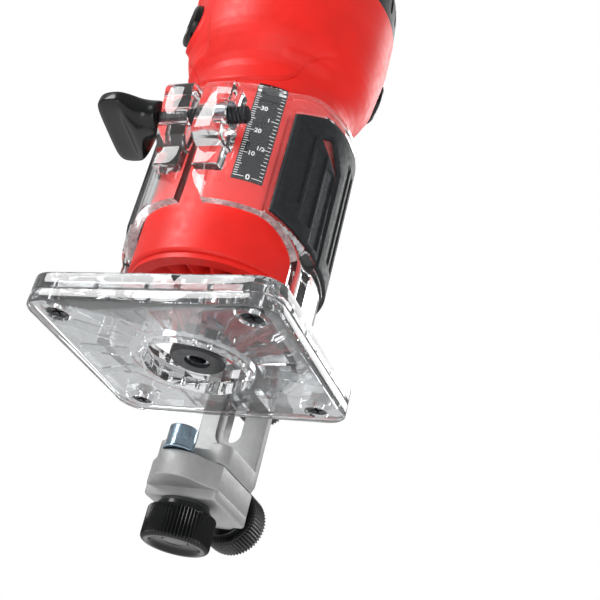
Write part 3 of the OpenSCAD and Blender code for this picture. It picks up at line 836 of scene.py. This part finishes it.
def build_wing():
    """Wing knob: a round hub that flares into a flat, slightly skewed paddle.

    Each section of the shape has its x, half width, half thickness and squareness.
    """
    shape = [(-17.6, 5.6, 5.6, 2), (-17.9, 6.2, 6.2, 2), (-18.6, 6.4, 6.4, 2),
             (-20.5, 6.6, 6.5, 2), (-22.5, 7.4, 6.4, 2.1), (-24.5, 9.4, 6.1, 2.3),
             (-26.5, 12.0, 5.7, 2.7), (-28.5, 14.2, 5.0, 3.2), (-30.0, 15.4, 3.9, 4.0),
             (-31.0, 15.8, 3.5, 4.6), (-33, 16.0, 3.3, 4.8), (-35.5, 15.9, 3.2, 4.8),
             (-37.5, 15.3, 3.2, 4.8), (-38.7, 14.5, 3.0, 4.4), (-39.6, 13.2, 2.5, 4.0),
             (-40.0, 11.8, 1.6, 3.4)]
    place = shift(0, CLAMP_Y, CLAMP_Z) @ Matrix.Rotation(math.radians(-WING_TILT), 4, "X")
    n = 64
    rings = []
    for x, w, t, power in shape:
        ring = []
        out = smooth(-x, 21, 30)
        for i in range(n):
            c, s, _ = spoke(i, n, 1, 0)
            y = w * math.copysign(abs(c) ** (2 / power), c)
            z = t * math.copysign(abs(s) ** (2 / power), s)
            ring.append(place @ Vector((x - WING_SKEW * y * out, y + WING_BACK * out,
                                        z - WING_DROP * out)))
        rings.append(ring)
    wing = stacked("wing_knob", rings)
    sub = wing.modifiers.new("round", "SUBSURF")
    sub.levels = 1
    sub.render_levels = 2
    finish_piece(wing, "clamp", "black_plastic", replaces=["clamp_wing"], sharp=70)


def build_clamp():
    bolt = threaded("clamp_screw", 3.2, 1.5, 0.5, (-21, CLAMP_Y, CLAMP_Z),
                    (BOLT_END, CLAMP_Y, CLAMP_Z), 3)
    finish_piece(bolt, "clamp", "black_steel", replaces=["clamp_bolt"], sharp=60)
    build_wing()


# ---- knobs ----

def build_knob(name, node, body, origin, axis, h, neck):
    """Knurled knob: neck, ribbed rim with rounded edges and a dished face."""
    profile = [(2.5, 0), (8.8, 0), (9.3, 0.3), (9.4, neck), (10.9, neck + 0.15),
               (11.7, neck + 0.55), (12.0, neck + 1.1), (12.0, h - 1.7), (11.85, h - 1.0),
               (11.4, h - 0.45), (10.7, h - 0.1), (9.9, h), (9.2, h - 0.15), (8.8, h - 0.6),
               (8.6, h - 1.4), (8.2, h - 1.8), (4.6, h - 2.1), (4.2, h - 1.7), (2.0, h - 1.6),
               (0, h - 1.6), (0, h - 3), (2.5, h - 3)]
    knob = turned(name, profile, place=aimed(origin, axis),
                  ribs=(60, 0.6, neck + 0.5, h - 0.4, 11.0))
    finish_piece(knob, body, "black_plastic", replaces=[node], sharp=42)


# ---- motor ----

# radius of the housing, by height
HEAD_LINE = [(28.0, 31.6), (28.3, 32.0), (29.0, 32.4), (104.0, 32.4), (107.5, 31.9),
             (110.5, 31.5), (113, 32.0), (116, 33.3), (119, 35.0), (122, 36.6), (125, 37.9),
             (128, 38.8), (132, 39.6), (136, 40.3), (140, 40.8), (144, 41.0), (159.0, 41.0),
             (159.7, 40.8), (160, 40.2)]
# height of the seam under the front panel, by degrees from the front
SEAM_LINE = [(0, 102.8), (12, 103.2), (20, 104.1), (29, 105.6), (35, 107.8), (40, 111),
             (43, 114.7), (46, 118.2), (51, 121.2), (60, 124)]
HEAD_DEG = 0.69  # length of one degree on the head
GROOVE_AZ = 4.3
RECESS_AZ = -28
WALL = 2.4


def turned_to(az):
    """The same azimuth between -180 and 180."""
    return (az + 180) % 360 - 180


def barrel_radius(az, z):
    """Outer surface of the red housing: front groove, panel, seam, scoop and crease."""
    r = along(HEAD_LINE, z)
    off = turned_to(az)
    groove = (1 - smooth(abs(off - GROOVE_AZ), 1.3, 2.0)) * smooth(z, 53, 54)
    r -= 0.9 * groove * (1 - smooth(z, 100.5, 101.5))
    recess = (1 - smooth(abs(off - RECESS_AZ), 5.6, 6.1)) * smooth(z, 56, 56.6)
    r -= 0.35 * recess * (1 - smooth(z, 94, 94.6))

    # raised front panel, the seam under it and the crease above the neck
    side = abs(off)
    gap = z - along(SEAM_LINE, side)
    near = 1 - smooth(side, 54, 60)
    r += 0.5 * smooth(gap, -0.2, 1.4) * near * (1 - smooth(z, 128, 138))
    r -= 0.45 * (1 - smooth(abs(gap + 0.5), 0.25, 0.8)) * near
    r += 0.4 * (1 - smooth(abs(z - 117), 0.5, 2.4)) * (1 - smooth(abs(side - 46), 14, 20))

    # scoop beside the panel, and a flat round each brush cap
    scoop = smooth(z, 117, 124) * (1 - smooth(off, -27, -23)) * smooth(off, -86, -76)
    r -= 1.6 * scoop * (1 - smooth(z, 150, 156))
    for bx in BRUSH_AZ:
        away = math.hypot(turned_to(az - bx) * HEAD_DEG, z - BRUSH_Z)
        flat = 1 - smooth(away, 10.5, 12.5)
        r = r * (1 - flat) + 39.2 * flat
    return min(r, 41.2)


def build_motor():
    zs = [28.0, 28.3, 28.65, 29.0, 29.5] + steps(30.5, 52.5, 12) + steps(53, 104, 68)
    zs += steps(104.5, 159, 110) + [159.4, 159.7, 159.9, 160.0]
    azs = steps(0, 358.8, 299)
    rings = [[polar(az, barrel_radius(az, z), z) for az in azs] for z in zs]
    for z in reversed(zs):
        inside = min(along(HEAD_LINE, z), 41.0) - WALL
        rings.append([polar(az, inside, z) for az in azs])
    shell = tube("red_housing", rings)
    cut(shell, [rod("brush_hole", 8.9, polar(az, 30, BRUSH_Z), polar(az, 50, BRUSH_Z))
                for az in BRUSH_AZ])
    finish_piece(shell, "motor", "red_shell", replaces=["motor_housing"], sharp=40)


def build_brush_caps():
    profile = [(0, 35.6), (8.5, 35.6), (8.7, 36), (8.7, 39.8), (8.4, 40.6), (7.6, 41.2),
               (6.9, 41.4), (6.4, 40.9), (0, 40.7)]
    parts = []
    for az in BRUSH_AZ:
        place = aimed((0, 0, BRUSH_Z), polar(az, 1, 0))
        cap = turned("cap", profile, 64, place)
        slot = rounded_outline(-5.2, 5.2, -0.8, 0.8, 0.15, 4)
        cut(cap, [pillow("slot", slot, 39.6, 43, 0.1, place)])
        parts.append(cap)
    finish_piece(joined("brush_covers", parts), "motor", "black_plastic",
                 replaces=["brush_caps"])


# ---- depth scale ----

SCALE_R = 32.66
SCALE_AZ = (18.6, 37.8)
SCALE_Z = (58.1, 101.7)
ZERO_Z = 59.6
SCALE_DEG = 0.57  # length of one degree on the plate
PRINT_LOW = -0.05
PRINT_HIGH = 0.035
MARGIN = 0.45
INCH = 25.4


def scale_az(across):
    """Azimuth of a point across the scale plate, in millimetres from its left edge."""
    return SCALE_AZ[0] + math.degrees(across / SCALE_R)


def mark(x0, x1, z):
    """A line of print across the plate, as a thin curved bar."""
    def face(height):
        return lambda u, v: polar(scale_az(u), SCALE_R + height, v)
    return slab("mark", steps(x0, x1, 3), (z - 0.13, z + 0.13), face(PRINT_HIGH),
                face(PRINT_LOW))


def figure(text, across, z, size):
    """A number of the ruler, laid on the curved plate."""
    curve = bpy.data.curves.new("figure", "FONT")
    curve.body = text
    curve.size = size
    curve.align_x = curve.align_y = "CENTER"
    curve.offset = 0.06
    source = placed("figure", curve)
    mesh = evaluated(source)
    bpy.data.objects.remove(source)
    bm = bmesh.new()
    bm.from_mesh(mesh)
    bmesh.ops.remove_doubles(bm, verts=bm.verts, dist=1e-4)
    made = bmesh.ops.extrude_face_region(bm, geom=bm.faces[:])
    raised = {v for v in made["geom"] if isinstance(v, bmesh.types.BMVert)}
    for v in bm.verts:
        r = SCALE_R + (PRINT_HIGH if v in raised else PRINT_LOW)
        v.co = polar(scale_az(across + v.co.x), r, z + v.co.y) * MM
    bmesh.ops.recalc_face_normals(bm, faces=bm.faces)
    bm.to_mesh(mesh)
    bm.free()
    return placed("figure", mesh)


def build_scale():
    azs = eased(*SCALE_AZ, 12, 0.5)
    zs = eased(*SCALE_Z, 20, 0.4)
    edge = 0.25

    def outer(u, v):
        nearest = min((u - SCALE_AZ[0]) * SCALE_DEG, (SCALE_AZ[1] - u) * SCALE_DEG,
                      v - SCALE_Z[0], SCALE_Z[1] - v)
        return polar(u, SCALE_R - 0.24 * min(1, rounding(nearest, edge) / edge), v)

    def inner(u, v):
        return polar(u, BARREL_R - 0.1, v)

    plate = slab("depth_plate", azs, zs, outer, inner)
    finish_piece(plate, "motor", "scale_print", replaces=["depth_scale"])
    width = math.radians(SCALE_AZ[1] - SCALE_AZ[0]) * SCALE_R

    def length(step, long, middle):
        """Longest at zero, then by the steps at which longer lines come."""
        if step == 0:
            return 3.6
        return 2.6 if step % long == 0 else 1.9 if step % middle == 0 else 1.3

    parts = []
    for mm in range(0, 42):
        parts.append(mark(MARGIN, MARGIN + length(mm, 10, 5), ZERO_Z + mm))
    for part in range(0, 27):
        parts.append(mark(width - MARGIN - length(part, 8, 4), width - MARGIN,
                          ZERO_Z + part * INCH / 16))
    parts.append(figure("0", width / 2, ZERO_Z, 3.0))
    for mm in (10, 20, 30, 40):
        parts.append(figure(str(mm), 4.35, ZERO_Z + mm, 2.5))
    for text, inches, left, up in (("1/2", 0.5, 4.0, 0), ("1", 1.0, 4.0, 0),
                                   ("1-1/2", 1.5, 4.6, 2.4)):
        parts.append(figure(text, width - left, ZERO_Z + inches * INCH + up, 2.3))
    finish_piece(joined("depth_marks", parts), "motor", "scale_print", WHITE)


# ---- trimmer guide ----

SCREW_HOLE = 2.55


def slot_cut(half, y0, y1):
    outline = []
    for middle, start in ((38, 0), (-6, 180)):
        for i in range(13):
            a = math.radians(start + 15 * i)
            outline.append((half * math.cos(a), middle + half * math.sin(a)))
    return stacked("slot_cut", [[Vector((x, y, z)) for x, z in outline] for y in (y0, y1)])


def upright(name, outline, y0, y1, edge):
    """An outline in X and Z, extruded along Y with rounded rims."""
    turn = Matrix(((1, 0, 0, 0), (0, 0, -1, 0), (0, 1, 0, 0), (0, 0, 0, 1)))
    return pillow(name, outline, -y1, -y0, edge, turn)


def build_holder():
    body = upright("cast_holder", rounded_outline(-13.5, 13.5, -28.4, 46, 4), 38, 42, 0.6)
    fuse(body, [slot_cut(8, 39, 44.9),
                pillow("foot", rounded_outline(-14, 14, 13.2, 42, 4), -28.4, -20.5, 0.9),
                upright("ear", rounded_outline(-8, 8, -40.3, -20, 3), 42.3, 46.3, 0.7),
                block("neck", -8, 8, 39, 46.2, -28.4, -21, 0.4)])
    cut(body, [slot_cut(3.6, 36, 50), slot_cut(6.2, 36, 39.6),
               rod("bore", SCREW_HOLE, (0, 30, ADJUST_Z), (0, 60, ADJUST_Z)),
               rod("bore", SCREW_HOLE, (0, ARM_LOCK_Y, -40), (0, ARM_LOCK_Y, -15)),
               pillow("step", rounded_outline(-7.2, 7.2, 9, 19.6, 3), -23.4, -10, 0.4)])
    finish_piece(body, "guide_holder", "cast_metal", replaces=["guide_holder"], sharp=35,
                 bevel=0.25)


def arm_outline(nose):
    """Outline of the arm: with its nose under the roller, or set back square."""
    square = rounded_outline(-13.7, 13.7, 13.4, 41, 1.2, 6)
    if not nose:
        return square
    front = []
    for i in range(25):
        a = math.radians(-163 + 146 * i / 24)
        front.append((9 * math.cos(a), 10.5 + 9 * math.sin(a)))
    return square[:len(square) // 2] + [(-13.7, 13.7)] + front + [(13.7, 13.7)]


def arm_layer(name, nose, z0, z1, low, high):
    """A layer of the arm with rounded rims of radius low at z0 and high at z1."""
    outline = arm_outline(nose)
    bend = (0, 0.1, 0.35, 1)
    rings = []
    for z in [z0 + low * t for t in bend] + [z1 - high * t for t in reversed(bend)]:
        d = max(rounding(z - z0, low), rounding(z1 - z, high))
        rings.append([Vector((x, y, z)) for x, y in shrunk(outline, d)])
    return stacked(name, rings)


def build_arm():
    arm = arm_layer("cast_arm", True, -37.6, -28.7, 0.5, 0.5)
    fuse(arm, [arm_layer("arm_foot", False, -41.2, -36.9, 0.9, 0.3)])
    cut(arm, [block("slot", -3.2, 3.2, 16.6, 34.6, -43, -27, 0.05, 0.4),
              rod("bore", SCREW_HOLE, (0, 24, ADJUST_Z), (0, 60, ADJUST_Z)),
              rod("pin_hole", 2.0, (0, ROLLER_Y, -36), (0, ROLLER_Y, -20))])
    finish_piece(arm, "guide_arm", "cast_metal", replaces=["guide_arm"], sharp=35, bevel=0.25)


def build_roller():
    place = shift(0, ROLLER_Y)
    profile = [(2.05, -28.4), (5.3, -28.4), (5.5, -28.2), (5.5, -27.8), (5.3, -27.6),
               (5.0, -27.4), (5.0, -20.5), (4.85, -20.15), (4.5, -20.0), (3.9, -20.0),
               (3.65, -20.2), (3.6, -21.8), (2.05, -21.8)]
    roller = turned("guide_bearing", profile, 72, place)
    finish_piece(roller, "roller", "blue_zinc", replaces=["guide_roller"])
    head = [(0, -35.9), (2.0, -35.9), (2.0, -21.5), (3.1, -21.5), (3.3, -21.2), (3.2, -20.6),
            (2.8, -20.3), (1.4, -20.3), (1.2, -20.9), (0, -21.0)]
    pin = turned("roller_axle", head, 48, place)
    finish_piece(pin, "guide_arm", "zinc_steel", replaces=["roller_pin"])


def build_guide():
    build_holder()
    build_arm()
    build_roller()
    back, down = (0, 1, 0), (0, 0, -1)
    build_knob("lock_knob", "guide_lock_knob", "guide_lock", (0, 47.4, LOCK_Z), back, 13, 1.6)
    build_knob("advance_knob", "adjust_knob", "adjuster", (0, 46.6, ADJUST_Z), back, 16, 3.5)
    build_knob("arm_knob", "arm_lock_knob", "arm_lock", (0, ARM_LOCK_Y, -42.7), down, 13.8, 1.8)
    screws = (("lock_screw", "guide_lock_screw", "guide_lock", (0, 29, LOCK_Z), (0, 56, LOCK_Z)),
              ("advance_screw", "adjust_screw", "adjuster", (0, 25.4, ADJUST_Z),
               (0, 57, ADJUST_Z)),
              ("arm_screw", "arm_lock_screw", "arm_lock", (0, ARM_LOCK_Y, -21.5),
               (0, ARM_LOCK_Y, -52)))
    for name, node, body, start, end in screws:
        finish_piece(threaded(name, 2.5, 0.8, 0.3, start, end), body, "zinc_steel",
                     replaces=[node], sharp=60)


# ---- top cover, switch and gland ----

SWITCH_Y = -34.5
SWITCH_Z = 172.5
INLET_Y = 15
COVER_SCREW_AZ = (40, 180, 320)
COVER_SCREW_R = 34.6
COVER_IN = 187.1
# radius of the cover, by height
COVER_LINE = [(160.0, 40.6), (160.5, 40.8), (164, 40.7), (170, 40.3), (174, 39.6), (178, 38.4),
              (181.5, 36.6), (184.5, 34.2), (186.8, 31.2), (188.4, 27.6), (189.2, 22), (189.5, 12)]


def switch_window():
    return block("window", -8.4, 8.4, -50, -29, 163.1, 181.9, 0.05, 0.5)


def build_cover():
    outer = [(r, z) for z, r in COVER_LINE] + [(0, 189.5)]
    inner = [(0, COVER_IN)]
    inner += [(max(0.1, r - WALL), min(z, COVER_IN)) for z, r in reversed(COVER_LINE)]
    cover = turned("black_cover", outer + inner, 180)
    parts = [upright("pad", rounded_outline(-12, 12, 161, 184, 2.5), -42.5, -32, 0.7)]
    tools = [switch_window(), rod("inlet", 7, (0, INLET_Y, 180), (0, INLET_Y, 195)),
             rod("inlet", 9.4, (0, INLET_Y, 189), (0, INLET_Y, 195))]
    for side in (-90, 90):
        for step in (-22, -11, 0, 11, 22):
            turn = Matrix.Rotation(math.radians(side + step), 4, "Z")
            tools.append(pillow("vent", rounded_outline(-1.1, 1.1, -45, -30, 0.9, 4), 164, 177,
                                0.9, turn))
    for az in COVER_SCREW_AZ:
        x, y, _ = polar(az, COVER_SCREW_R, 0)
        parts.append(disc("boss", 4.4, 160.2, 178, 32, shift(x, y)))
        tools.append(rod("screw_hole", 2.1, (x, y, 159), (x, y, 200), 24))
        tools.append(rod("screw_room", 3.6, (x, y, 172), (x, y, 200), 32))
    fuse(cover, parts)
    cut(cover, tools)
    finish_piece(cover, "motor", "matt_black_plastic", replaces=["top_cover"], sharp=38)


def build_switch():
    bezel = upright("switch_frame", rounded_outline(-10.4, 10.4, 161.5, 183.5, 1.8), -43.7,
                    -42.5, 0.4)
    cut(bezel, [switch_window()])
    finish_piece(bezel, "motor", "black_plastic", replaces=["switch_bezel"])
    side = [(-9, -7), (-8.3, -2), (-8.3, 2), (-10.1, 6.6), (-9.6, 7.2), (-4, 6.8), (-2, 5),
            (-2, -5), (-4, -6.8), (-8.6, -7.4)]
    rings = []
    for x, d in ((-8, 0.95), (-7.6, 0.988), (-7, 1), (7, 1), (7.6, 0.988), (8, 0.95)):
        rings.append([Vector((x, SWITCH_Y + y * d, SWITCH_Z + z * d)) for y, z in side])
    rocker = stacked("switch_paddle", rings)
    fuse(rocker, [rod("hub", 5.5, (-8, SWITCH_Y, SWITCH_Z), (8, SWITCH_Y, SWITCH_Z))])
    finish_piece(rocker, "rocker", "black_plastic", replaces=["switch_rocker"], sharp=35,
                 bevel=0.3)


def build_gland():
    outer = [(6.9, 181), (6.9, 189), (9.2, 189)]
    for z in steps(189.6, 197.2, 4):
        r = 9.1 - 0.17 * (z - 189)
        outer += [(r, z), (r, z + 1.1), (r - 0.7, z + 1.3), (r - 0.7, z + 1.7)]
    outer += [(7.4, 198.6), (7.0, 199.0), (4.2, 199.0), (3.6, 198.5), (3.6, 181)]
    gland = turned("cord_bush", outer, 64, shift(0, INLET_Y))
    finish_piece(gland, "motor", "matt_black_plastic", replaces=["cord_gland"])


# ---- scene ----

def set_cad_looks():
    """Gives every CAD node that is still shown its procedural material."""
    for part in frame["record"]["subparts"]:
        obj = frame["nodes"][part["node"]]
        obj.data.materials.clear()
        obj.data.materials.append(LOOKS[part["material_slot"]])
        obj.data.shade_smooth()
        obj.data.set_sharp_from_angle(angle=math.radians(30))


def add_camera():
    data = bpy.data.cameras.new("camera")
    data.lens = 64.74
    data.sensor_width = 36.0
    data.clip_start = 0.01
    data.clip_end = 20.0
    camera = placed("camera", data)
    place = Vector((174.8, -296.2, -147.1)) * MM
    target = Vector((26.4, 12.7, 36.5)) * MM
    roll = Matrix.Rotation(math.radians(14.17), 4, "Z")
    camera.matrix_world = aimed(place, target - place, "-Z") @ roll
    bpy.context.scene.camera = camera


def add_light(name, place, target, size, power):
    """A round area light, with its lengths in metres."""
    data = bpy.data.lights.new(name, "AREA")
    data.shape = "DISK"
    data.size = size
    data.energy = power
    lamp = placed(name, data)
    lamp.matrix_world = aimed(place, Vector(target) - Vector(place), "-Z")
    return lamp


def add_world():
    """White behind the object and through it; a soft grey gradient for what it reflects."""
    world = bpy.data.worlds.new("studio")
    bpy.context.scene.world = world
    world.use_nodes = True
    nodes, links = world.node_tree.nodes, world.node_tree.links
    nodes.clear()
    coord = nodes.new("ShaderNodeTexCoord")
    split = nodes.new("ShaderNodeSeparateXYZ")
    links.new(coord.outputs["Generated"], split.inputs["Vector"])
    ramp = nodes.new("ShaderNodeValToRGB")
    span = nodes.new("ShaderNodeMapRange")
    span.inputs["From Min"].default_value = -1
    span.inputs["From Max"].default_value = 1
    links.new(split.outputs["Z"], span.inputs["Value"])
    links.new(span.outputs["Result"], ramp.inputs["Fac"])
    stops = ((0.0, 0.62), (0.3, 0.8), (0.46, 0.36), (0.56, 0.75), (0.75, 0.95), (1.0, 1.0))
    greys = ramp.color_ramp.elements
    for place, _ in stops[1:-1]:
        greys.new(place)
    for stop, (_, grey) in zip(greys, stops):
        stop.color = (grey, grey, grey, 1)
    soft = nodes.new("ShaderNodeBackground")
    soft.inputs["Strength"].default_value = 0.55
    links.new(ramp.outputs["Color"], soft.inputs["Color"])
    path = nodes.new("ShaderNodeLightPath")
    surface = soft.outputs["Background"]
    for ray, strength in (("Is Transmission Ray", 0.66), ("Is Camera Ray", 1.0)):
        white = nodes.new("ShaderNodeBackground")
        white.inputs["Color"].default_value = (1, 1, 1, 1)
        white.inputs["Strength"].default_value = strength
        mix = nodes.new("ShaderNodeMixShader")
        links.new(path.outputs[ray], mix.inputs["Fac"])
        links.new(surface, mix.inputs[1])
        links.new(white.outputs["Background"], mix.inputs[2])
        surface = mix.outputs["Shader"]
    out = nodes.new("ShaderNodeOutputWorld")
    links.new(surface, out.inputs["Surface"])


def add_floor():
    half = 2500
    z = -262
    floor = mesh_from("floor", [(-half, -half, z), (half, -half, z), (half, half, z),
                                (-half, half, z)], [(0, 1, 2, 3)])
    paper = Shader("studio_paper", (0.9, 0.9, 0.9, 1), 0.9,
                   Emission_Color=(1, 1, 1, 1), Emission_Strength=0.3)
    paper.bump(paper.noise(2, 3), 0.05, 0.2)
    floor.data.materials.append(paper.mat)


set_cad_looks()
build_base()
build_sole()
build_notch()
build_sole_screws()
build_grip("grip_right", "right_grip", 1)
build_grip("grip_left", "left_grip", -1)
build_clamp()
build_motor()
build_brush_caps()
build_scale()
build_guide()
build_cover()
build_switch()
build_gland()
add_camera()
add_light("key", (-0.55, -0.75, 0.55), (0, 0, 0.06), 0.5, 7)
add_light("fill", (0.85, -0.45, 0.1), (0, 0, 0.05), 0.6, 1.8).visible_glossy = False
add_light("under", (0.1, -0.6, -0.12), (0, 0, 0.0), 0.24, 0.6)
add_light("back", (0.3, 0.8, 0.6), (0, 0, 0.06), 0.6, 4)
add_world()
add_floor()
bpy.context.scene.view_settings.view_transform = "Standard"
